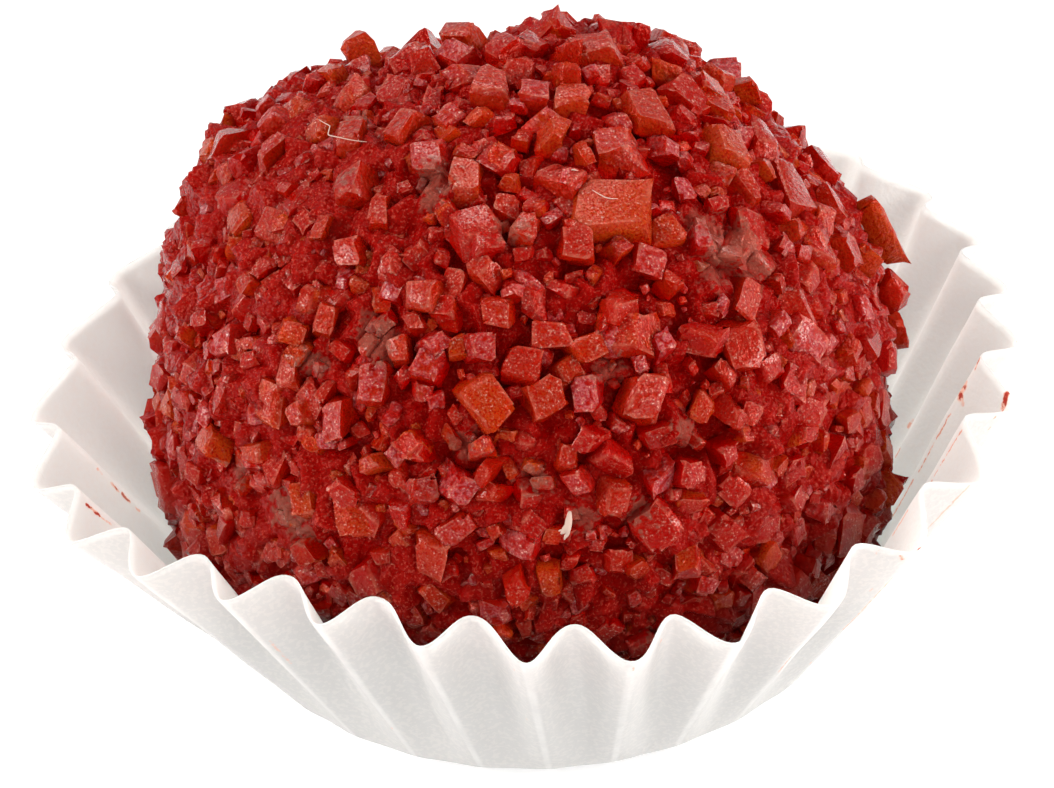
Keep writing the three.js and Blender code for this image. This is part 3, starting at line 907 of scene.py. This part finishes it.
# Painted glints: tiny pale dots on outward faces
PAINTED_GLINT_PINK = (0.72, 0.48, 0.45, 1)
SUGAR_GRAIN_SIZES = (0.28, 0.10)  # sizes of the rough and the fine grain
SUGAR_RELIEF = (0.2, 0.05)  # depths of the same
SPECK_SHARE = 0.34
# The crown's crystals are paler: partly real frost, partly painted sheen from the light above
TOP_DUST_AND_SHEEN = 0.25  # how much more frost the crystals on the crown have
GLAZE = 0.55  # how much clear gloss the faces have that see the sky
SKY_SLOPE = 1.6  # how fast the sky that a face sees grows with its normal's climb
LEVEL_SKY = 0.2  # what an upright face sees of it


def sugar_material():
    """Coloured rock sugar: clear red to orange, and dusty, speckled and worn on its outer faces, where these
    pale marks are partly painted sheen, glints and edge highlights; painted shade in its pits and painted
    light at the foot of each block.
    """
    material, tree, shader = bare_material("red_sugar")
    tone, frost, cloud = kept(tree, "tone"), kept(tree, "frost"), kept(tree, "cloud")
    # Outward faces take the pale colours below; there these are partly real frost and dust, partly painted
    # sheen of the bright room
    outer = stepped(tree, kept(tree, "outer"), 0.35, 0.85)
    rough, _ = grain(tree, SUGAR_GRAIN_SIZES[0])
    fine, specks = grain(tree, SUGAR_GRAIN_SIZES[1], SPECK_SHARE)
    colour = mixed(tree, tone, CRIMSON, ORANGE)
    shade = product(tree, kept(tree, "shade"), stepped(tree, cloud, 0.1, 0.6))
    colour = mixed(tree, shade, colour, DEEP_RED)
    # Dust and painted sheen: pale colour only on outward faces
    dust_and_sheen = product(tree, stretched(tree, frost, 0.65, 0.08), stretched(tree, tone, -0.6, 1.0), outer,
                   stepped(tree, rough, 0.34, 0.62))
    colour = mixed(tree, dust_and_sheen, colour, mixed(tree, frost, DUST_AND_SHEEN_ROSE, FROST_PINK))
    # Painted shade: darker red in the low spots of the fine grain, which the bump also sinks
    pits = stepped(tree, fine, 0.52, 0.34)
    colour = mixed(tree, product(tree, pits, 0.8), colour, DEEP_RED)
    # Pale specks on outward faces: partly real frost, partly painted sparkle
    grain_and_sheen = product(tree, outer, stepped(tree, rough, 0.36, 0.62), stretched(tree, frost, 0.7, 0.3))
    colour = mixed(tree, product(tree, specks, grain_and_sheen), colour, WORN_AND_HIGHLIGHT_PINK)
    # Painted glints where the fine grain is highest, on the outward grainy parts
    glints = stepped(tree, fine, 0.66, 0.74)
    colour = mixed(tree, product(tree, glints, grain_and_sheen), colour, PAINTED_GLINT_PINK)
    # Paler outward edges: partly real rubbing, partly a painted edge highlight
    rubbed_and_highlit = product(tree, stepped(tree, kept(tree, "edge"), 0.3, 1.0), stepped(tree, cloud, 0.34, 0.60),
                     rough, 0.65, outer)
    colour = mixed(tree, rubbed_and_highlit, colour, WORN_AND_HIGHLIGHT_PINK)
    colour = mixed(tree, product(tree, filmed(tree, rough), 0.55), colour, FILM_BROWN)
    # Painted light and shade: the foot of each block turns a clear bright red, for the light glowing through
    # the sugar in the shaded gaps
    colour = mixed(tree, stepped(tree, kept(tree, "height"), -0.3, 0.45), GAP_GLOW_RED, colour)
    roughness = stretched(tree, frost, 0.25, stretched(tree, rough, 0.16, 0.07))
    uneven = product(tree, rough, stretched(tree, frost, 0.7, 0.55))
    normal = pitted(tree, uneven, fine, SUGAR_RELIEF, 0.7)
    finish_sugar(tree, shader, colour, roughness, normal, gloss=0.45, melt=0.6)
    glaze = product(tree, kept(tree, "sky"), stepped(tree, fine, 0.40, 0.6),
                    stretched(tree, tone, -0.45, GLAZE))
    fill(tree, shader, {"Coat Weight": glaze, "Coat Roughness": 0.09})
    return material


red_sugar = sugar_material()


def facing(points, way_out):
    """How squarely each face of each block lies outwards on the sweet, and how much of the sky it sees.

    The first is the dot of its normal and the way out, and the second is that times its normal's climb.
    """
    corner = points[:, BLOCK_FACES]
    normal = np.cross(corner[:, :, 2] - corner[:, :, 0], corner[:, :, 3] - corner[:, :, 1])
    normal /= np.maximum(np.linalg.norm(normal, axis=-1, keepdims=True), 1e-9)
    outer = (normal * way_out[:, None]).sum(axis=-1)
    return outer, np.clip(outer, 0, 1) * np.clip(SKY_SLOPE * normal[..., 2] + LEVEL_SKY, 0, 1)


def put_crystals(name, points, height, tone, frost, shade):
    """One piece from many worn blocks, which keeps each block's height and finish and marks edges, which the
    material paints paler as wear and as a painted highlight.
    """
    blocks, per_block = points.shape[:2]
    faces = (per_block * np.arange(blocks)[:, None, None] + BLOCK_FACES).reshape(-1, 4)
    piece = put_mesh(name, points.reshape(-1, 3), [faces], red_sugar, smooth=True)
    piece.data.set_sharp_from_angle(angle=math.radians(SHARP_EDGE))
    way_out = unit(points.mean(axis=1) - SWEET_CENTRE)
    # Crystals on the crown take more frost, partly painted sheen from the light above
    frost_and_sheen = np.minimum(frost + TOP_DUST_AND_SHEEN * np.maximum(way_out[:, 2], 0) ** 3, 1)
    finish = {"tone": tone, "frost": frost_and_sheen, "shade": shade}
    put_values(piece, "POINT", **{kind: np.repeat(value, per_block) for kind, value in finish.items()})
    cloud = np.random.default_rng(blocks).random(points.shape[:2])
    edge = np.tile(EDGE_ORDER > 0, blocks)
    put_values(piece, "POINT", height=height, film=film_cover(points), cloud=cloud, edge=edge)
    outer, sky = facing(points, way_out)
    put_values(piece, "FACE", outer=outer, sky=sky)
    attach(piece, "root")


def too_near(toward, half, taken, reach, crowding):
    """Whether a crystal's middle is closer to a taken one than the crowding times their half widths."""
    gap = np.linalg.norm(sweet_point(toward)[:, None] - sweet_point(taken)[None], axis=-1)
    return (gap < crowding * (half[:, None] + reach[None])).any(axis=1)


def standout_crystals():
    """The crystals that the eye picks out, each at its own place."""
    turn, rise, across, along, thick, spin, tone, frost = STANDOUT.T
    toward = direction(np.radians(turn), np.radians(rise))
    size = np.stack([across, along, thick], axis=1)
    draw = np.random.default_rng(STANDOUT_SEEDS[0])
    tilt = np.radians(STANDOUT_TILT) * draw.normal(size=(len(size), 2))
    sink = np.full(len(size), CRYSTAL_SINK)
    sink[STANDS_OFF] = STANDOFF_SINK
    wear, seed = STANDOUT_WEAR, STANDOUT_SEEDS[1]
    points, height = worn_blocks(toward, size, np.radians(spin), tilt, sink, wear, seed)
    shade = np.full(len(tone), STANDOUT_SHADE)
    put_crystals("standout_crystals", points, height, tone, frost, shade)
    return toward, 0.5 * np.sqrt(across * along)


ORANGE_SHARE = 0.32
FROSTED_SHARE = 0.27


def finish_of(draw, count):
    """Seeded tone, frost and shade of common crystals: most crimson, some orange, a few frosted pink."""
    orange = draw.random(count) < ORANGE_SHARE
    tone = np.where(orange, draw.uniform(0.5, 1, count), draw.uniform(0, 0.25, count))
    frosted = draw.random(count) < FROSTED_SHARE
    frost = np.where(frosted, draw.uniform(0.5, 1, count), draw.uniform(0, 0.2, count))
    return tone, frost, draw.random(count) ** 0.8


def set_down(name, draw, toward, half, size, lying, seed, allowed=True):
    """One piece of common crystals with seeded lie and finish, and the places and half widths of them.

    Lying is their usual tilt, their sink and how far it strays; they lie deeper and flatter where the coat
    is pressed. Those that aren't allowed, or would touch the paper, are left out.
    """
    lean, depth, stray = lying
    flatness = pressed(toward)
    level = 1 - PRESSED_LEVEL * flatness[:, None]
    tilt = np.radians(lean) * draw.normal(size=(len(size), 2)) * level
    sink = depth + PRESSED_SINK * flatness + stray * draw.normal(size=len(size))
    spin = math.pi * draw.random(len(size))
    points, height = worn_blocks(toward, size, spin, tilt, sink, EDGE_WEAR, seed)
    keep = clear_of_paper(points) & allowed
    finish = [value[keep] for value in finish_of(draw, len(size))]
    put_crystals(name, points[keep], height[keep], *finish)
    return toward[keep], half[keep]


def spread_crystals(taken, reach):
    """Crystals along a spiral that spaces them evenly from crown to base, each nudged from its place."""
    draw = np.random.default_rng(SPREAD_SEEDS[0])
    count = SPREAD_CRYSTALS
    place = np.arange(count)
    nudge = math.sqrt(4 * math.pi / count) * WANDER
    rise = np.arcsin(1 - (2 * place + 1) / count) + nudge * draw.uniform(-1, 1, count)
    turn = place * GOLDEN_ANGLE + nudge * draw.uniform(-1, 1, count) / np.cos(rise)
    toward = direction(turn, rise)
    width = between(CRYSTAL_WIDTH, draw.random(count)) * (1 - PRESSED_SHRINK * pressed(toward))
    length = width * between(CRYSTAL_LENGTH, draw.random(count))
    size = np.stack([width, length, CRYSTAL_THICKNESS * draw.uniform(*THICKNESS_RANGE, count)], axis=1)
    half = 0.5 * np.sqrt(width * length)
    allowed = (rise > math.radians(LOWEST_RISE)) & ~too_near(toward, half, taken, reach, SPREAD_CROWDING)
    lying = (CRYSTAL_TILT, CRYSTAL_SINK, SINK_STRAY)
    return set_down("spread_crystals", draw, toward, half, size, lying, SPREAD_SEEDS[1], allowed)


standout_places, standout_reach = standout_crystals()
spread_places, spread_reach = spread_crystals(standout_places, standout_reach)

# Small sugar crystals
# The finer part of the same sugar: grains from a third of a millimetre to just over one, stuck on
# between the large crystals, and broken splinters of them lying at all angles in the gaps.

# Tries, width, crowding, tilt, sink and seed of each kind
SMALL_KINDS = {
    "medium_crystals": (5000, (0.8, 1.35), 0.74, 26, 0.42, 31),
    "small_crystals": (3600, (0.35, 0.8), 0.7, 36, 0.40, 32),
    "sugar_splinters": (700, (0.14, 0.36), 0.0, 50, 0.3, 33),
}
SMALL_SHAPE = ((0.75, 0.75, 0.55), (1.4, 1.4, 1.1))  # least and most of each side, as parts of the width
SMALL_STRAY = 0.2  # of the sink
SEED_STEP = 100  # from the seed of their places to that of their lie, and on to that of their wear
WIDTH_CURVE = 1.3  # more gives more of the narrow ones
PRESSED_CROWDING = 0.35  # part of the crowding lost where the coat is pressed


def thrown(taken, reach, tries, width, crowding, seed):
    """Places for grains thrown at the sweet in turn; one that lands too near another is left out.

    Two grains are too near when their middles are closer than the crowding times their half widths' sum.
    """
    draw = np.random.default_rng(seed)
    toward = scattered(draw, tries)
    toward = toward[toward[:, 2] > math.sin(math.radians(LOWEST_RISE))]
    half = 0.5 * between(width, draw.random(len(toward)) ** WIDTH_CURVE)
    closer = crowding * (1 - PRESSED_CROWDING * pressed(toward))
    middle = sweet_point(toward)
    held = np.concatenate([sweet_point(taken), middle])
    held_half = np.concatenate([reach, half])
    used = np.arange(len(held)) < len(taken)
    for number in range(len(toward)):
        there = np.flatnonzero(used)
        gap = np.linalg.norm(held[there] - middle[number], axis=1)
        used[len(taken) + number] = (gap > closer[number] * (held_half[there] + half[number])).all()
    chosen = used[len(taken):]
    return toward[chosen], half[chosen]


def small_crystals():
    """Each kind of smaller grain in turn, thrown between those that already lie there."""
    taken = np.concatenate([standout_places, spread_places])
    reach = np.concatenate([standout_reach, spread_reach])
    for name, (tries, width, crowding, lean, depth, seed) in SMALL_KINDS.items():
        toward, half = thrown(taken, reach, tries, width, crowding, seed)
        draw = np.random.default_rng(seed + SEED_STEP)
        size = 2 * half[:, None] * draw.uniform(*SMALL_SHAPE, (len(toward), 3))
        lying = (lean, depth, SMALL_STRAY)
        toward, half = set_down(name, draw, toward, half, size, lying, seed + 2 * SEED_STEP)
        taken = np.concatenate([taken, toward])
        reach = np.concatenate([reach, half])


small_crystals()

# Crumb and fibres
# A white crumb of paper and a few pale hairs that the sticky coat has picked up; each lies on the crystals
# and is held by the syrup on them. Every one is made of thin round threads swept along bent lines.
FIBRE_WHITE = (0.66, 0.48, 0.40, 1)
FIBRE_SIDES = 6
FIBRE_STEPS = 24
FIBRE_TAPER = 0.4  # less keeps a thread full for longer towards its ends
# Bends of each thread as turn, rise and height over the skin, and its half thickness
FIBRES = [
    ([(27, 61.6, 0.98), (28.2, 60.5, 1.0), (29.3, 59.7, 1.0), (30.6, 59.2, 1.0), (32.4, 58.8, 0.98)], 0.026),
    ([(23.0, 65.9, 0.9), (24.8, 65.6, 1.0), (26.6, 65.2, 0.95)], 0.035),
    ([(-89.5, 63.4, 0.9), (-82, 65, 0.95), (-78, 64.2, 0.95), (-73, 65.5, 0.95), (-62, 68, 0.9)], 0.026),
    ([(5.0, 17.9, 0.95), (4.7, 17.0, 1.1), (4.3, 15.6, 1.15), (4.1, 14.3, 1.0)], 0.15),
    ([(4.9, 16.9, 1.0), (4.2, 16.0, 1.12), (3.6, 15.2, 1.1), (3.3, 14.8, 0.95)], 0.12),
    ([(4.4, 15.9, 1.1), (3.6, 15.5, 1.1), (3.0, 15.3, 1.0)], 0.06),
    ([(4.3, 15.3, 1.1), (3.9, 14.5, 1.1), (3.7, 13.9, 0.98)], 0.07),
]


def thread(bends, half_thickness):
    """Points round a line that runs straight from bend to bend, and thins at both ends."""
    step = np.linspace(0, len(bends) - 1, FIBRE_STEPS)
    turn, rise, height = [np.interp(step, np.arange(len(bends)), bend) for bend in np.array(bends).T]
    toward = direction(np.radians(turn), np.radians(rise))
    normal = sweet_normal(toward)
    line = sweet_point(toward) + normal * height[:, None]
    ahead = unit(np.gradient(line, axis=0))
    side = np.cross(ahead, normal)
    over = np.cross(side, ahead)
    around = np.arange(FIBRE_SIDES)[:, None, None] * 2 * math.pi / FIBRE_SIDES
    half = half_thickness * np.sin(math.pi * (np.arange(FIBRE_STEPS) + 0.5) / FIBRE_STEPS) ** FIBRE_TAPER
    return line + (np.cos(around) * side + np.sin(around) * over) * half[:, None]


def fibre_material():
    """Pale matt fibre with a flush of the sugar's colour."""
    material, tree, shader = bare_material("pale_fibre")
    fill(tree, shader, {"Base Color": FIBRE_WHITE, "Roughness": 0.7})
    return material


def fibres():
    """All the threads in one piece, each closed at both ends."""
    points, faces = [], []
    for number, (bends, half_thickness) in enumerate(FIBRES):
        rings = thread(bends, half_thickness)
        points += [rings.reshape(-1, 3), rings[:, [0, -1]].mean(axis=0)]
        first = number * (FIBRE_SIDES * FIBRE_STEPS + 2)
        faces += [first + part for part in closed_skin(FIBRE_SIDES, FIBRE_STEPS)]
    return put_mesh("crumb_and_fibres", np.concatenate(points), faces, fibre_material(), smooth=True)


stuck = fibres()
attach(stuck, "root")

# Floor and light
# A plain white table in a bright room, with a broad soft light at each side, one above and behind, and a
# fill in front that leaves no glints. The table is lit from below as well, so it hardly takes a shadow.
FLOOR_HALF = 2000
FLOOR_GREY = (0.5, 0.5, 0.5, 1)
PURE_WHITE = (1, 1, 1, 1)
WARM_WHITE = (1.0, 0.965, 0.925)
AIM_HEIGHT = 12  # of the point on the axis that the lights face
ROOM_LIGHT = 0.34


def floor_material():
    """Plain white matt surface, lit from below like a light table."""
    material, tree, shader = bare_material("pale_floor")
    fill(tree, shader, {
        "Base Color": FLOOR_GREY,
        "Roughness": 0.8,
        "Emission Color": PURE_WHITE,
        "Emission Strength": 0.6,
    })
    return material


corners = FLOOR_HALF * np.array([(-1, -1, 0), (1, -1, 0), (1, 1, 0), (-1, 1, 0)]) - CASE_SHIFT
floor = put_mesh("floor", corners, [np.array([[0, 1, 2, 3]])], floor_material(), smooth=False)


def stand(name, data, right, up, back, place):
    """A new light or camera at a place in mm, with its own right, up and back along three directions."""
    made = bpy.data.objects.new(name, data)
    pose = np.stack([right, up, back, place * MM], axis=1)
    made.matrix_world = Matrix([*pose.tolist(), [0, 0, 0, 1]])
    bpy.context.scene.collection.objects.link(made)
    return made


def soft_light(name, turn, rise, distance, size, power):
    """A square area light at a turn and rise from the sweet, facing it; lengths in mm, power in watts."""
    light = bpy.data.lights.new(name, "AREA")
    light.size = size * MM
    light.energy = power
    light.color = WARM_WHITE
    back = direction(math.radians(turn), math.radians(rise))
    side = unit(np.cross([0.0, 0.0, 1.0], back))
    return stand(name, light, side, np.cross(back, side), back, back * distance + (0, 0, AIM_HEIGHT))


soft_light("left_light", -78, 26, 600, 260, 2.35)
soft_light("right_light", 78, 16, 600, 260, 2.6)
soft_light("top_light", 178, 64, 600, 320, 1.9)
front_fill = soft_light("front_light", 20, 18, 900, 500, 2.0)
front_fill.visible_glossy = False
world = bpy.data.worlds.new("bright_room")
world.use_nodes = True
fill(world.node_tree, world.node_tree.nodes["Background"], {"Color": PURE_WHITE, "Strength": ROOM_LIGHT})
bpy.context.scene.world = world
bpy.context.scene.view_settings.view_transform = "Standard"

# Camera
# The photograph's own view: from the front and well above, a long lens, and the camera rolled a little.
CAMERA_TARGET = np.array([0.14, 0.2, 10.63])
CAMERA_DISTANCE = 250
CAMERA_ELEVATION = math.radians(35.33)
CAMERA_ROLL = math.radians(5.69)
CAMERA_LENS = 193.5
CAMERA_SENSOR = 36  # width
CAMERA_NEAR = 10  # nothing nearer is drawn

back = np.array([0, -math.cos(CAMERA_ELEVATION), math.sin(CAMERA_ELEVATION)])
level_right = np.array([1.0, 0, 0])
level_up = np.cross(back, level_right)
right = math.cos(CAMERA_ROLL) * level_right - math.sin(CAMERA_ROLL) * level_up
up = math.sin(CAMERA_ROLL) * level_right + math.cos(CAMERA_ROLL) * level_up
camera_data = bpy.data.cameras.new("camera")
camera_data.lens = CAMERA_LENS
camera_data.sensor_width = CAMERA_SENSOR
camera_data.sensor_fit = "HORIZONTAL"
camera_data.clip_start = CAMERA_NEAR * MM
camera_place = CAMERA_TARGET + CAMERA_DISTANCE * back
bpy.context.scene.camera = stand("camera", camera_data, right, up, back, camera_place)
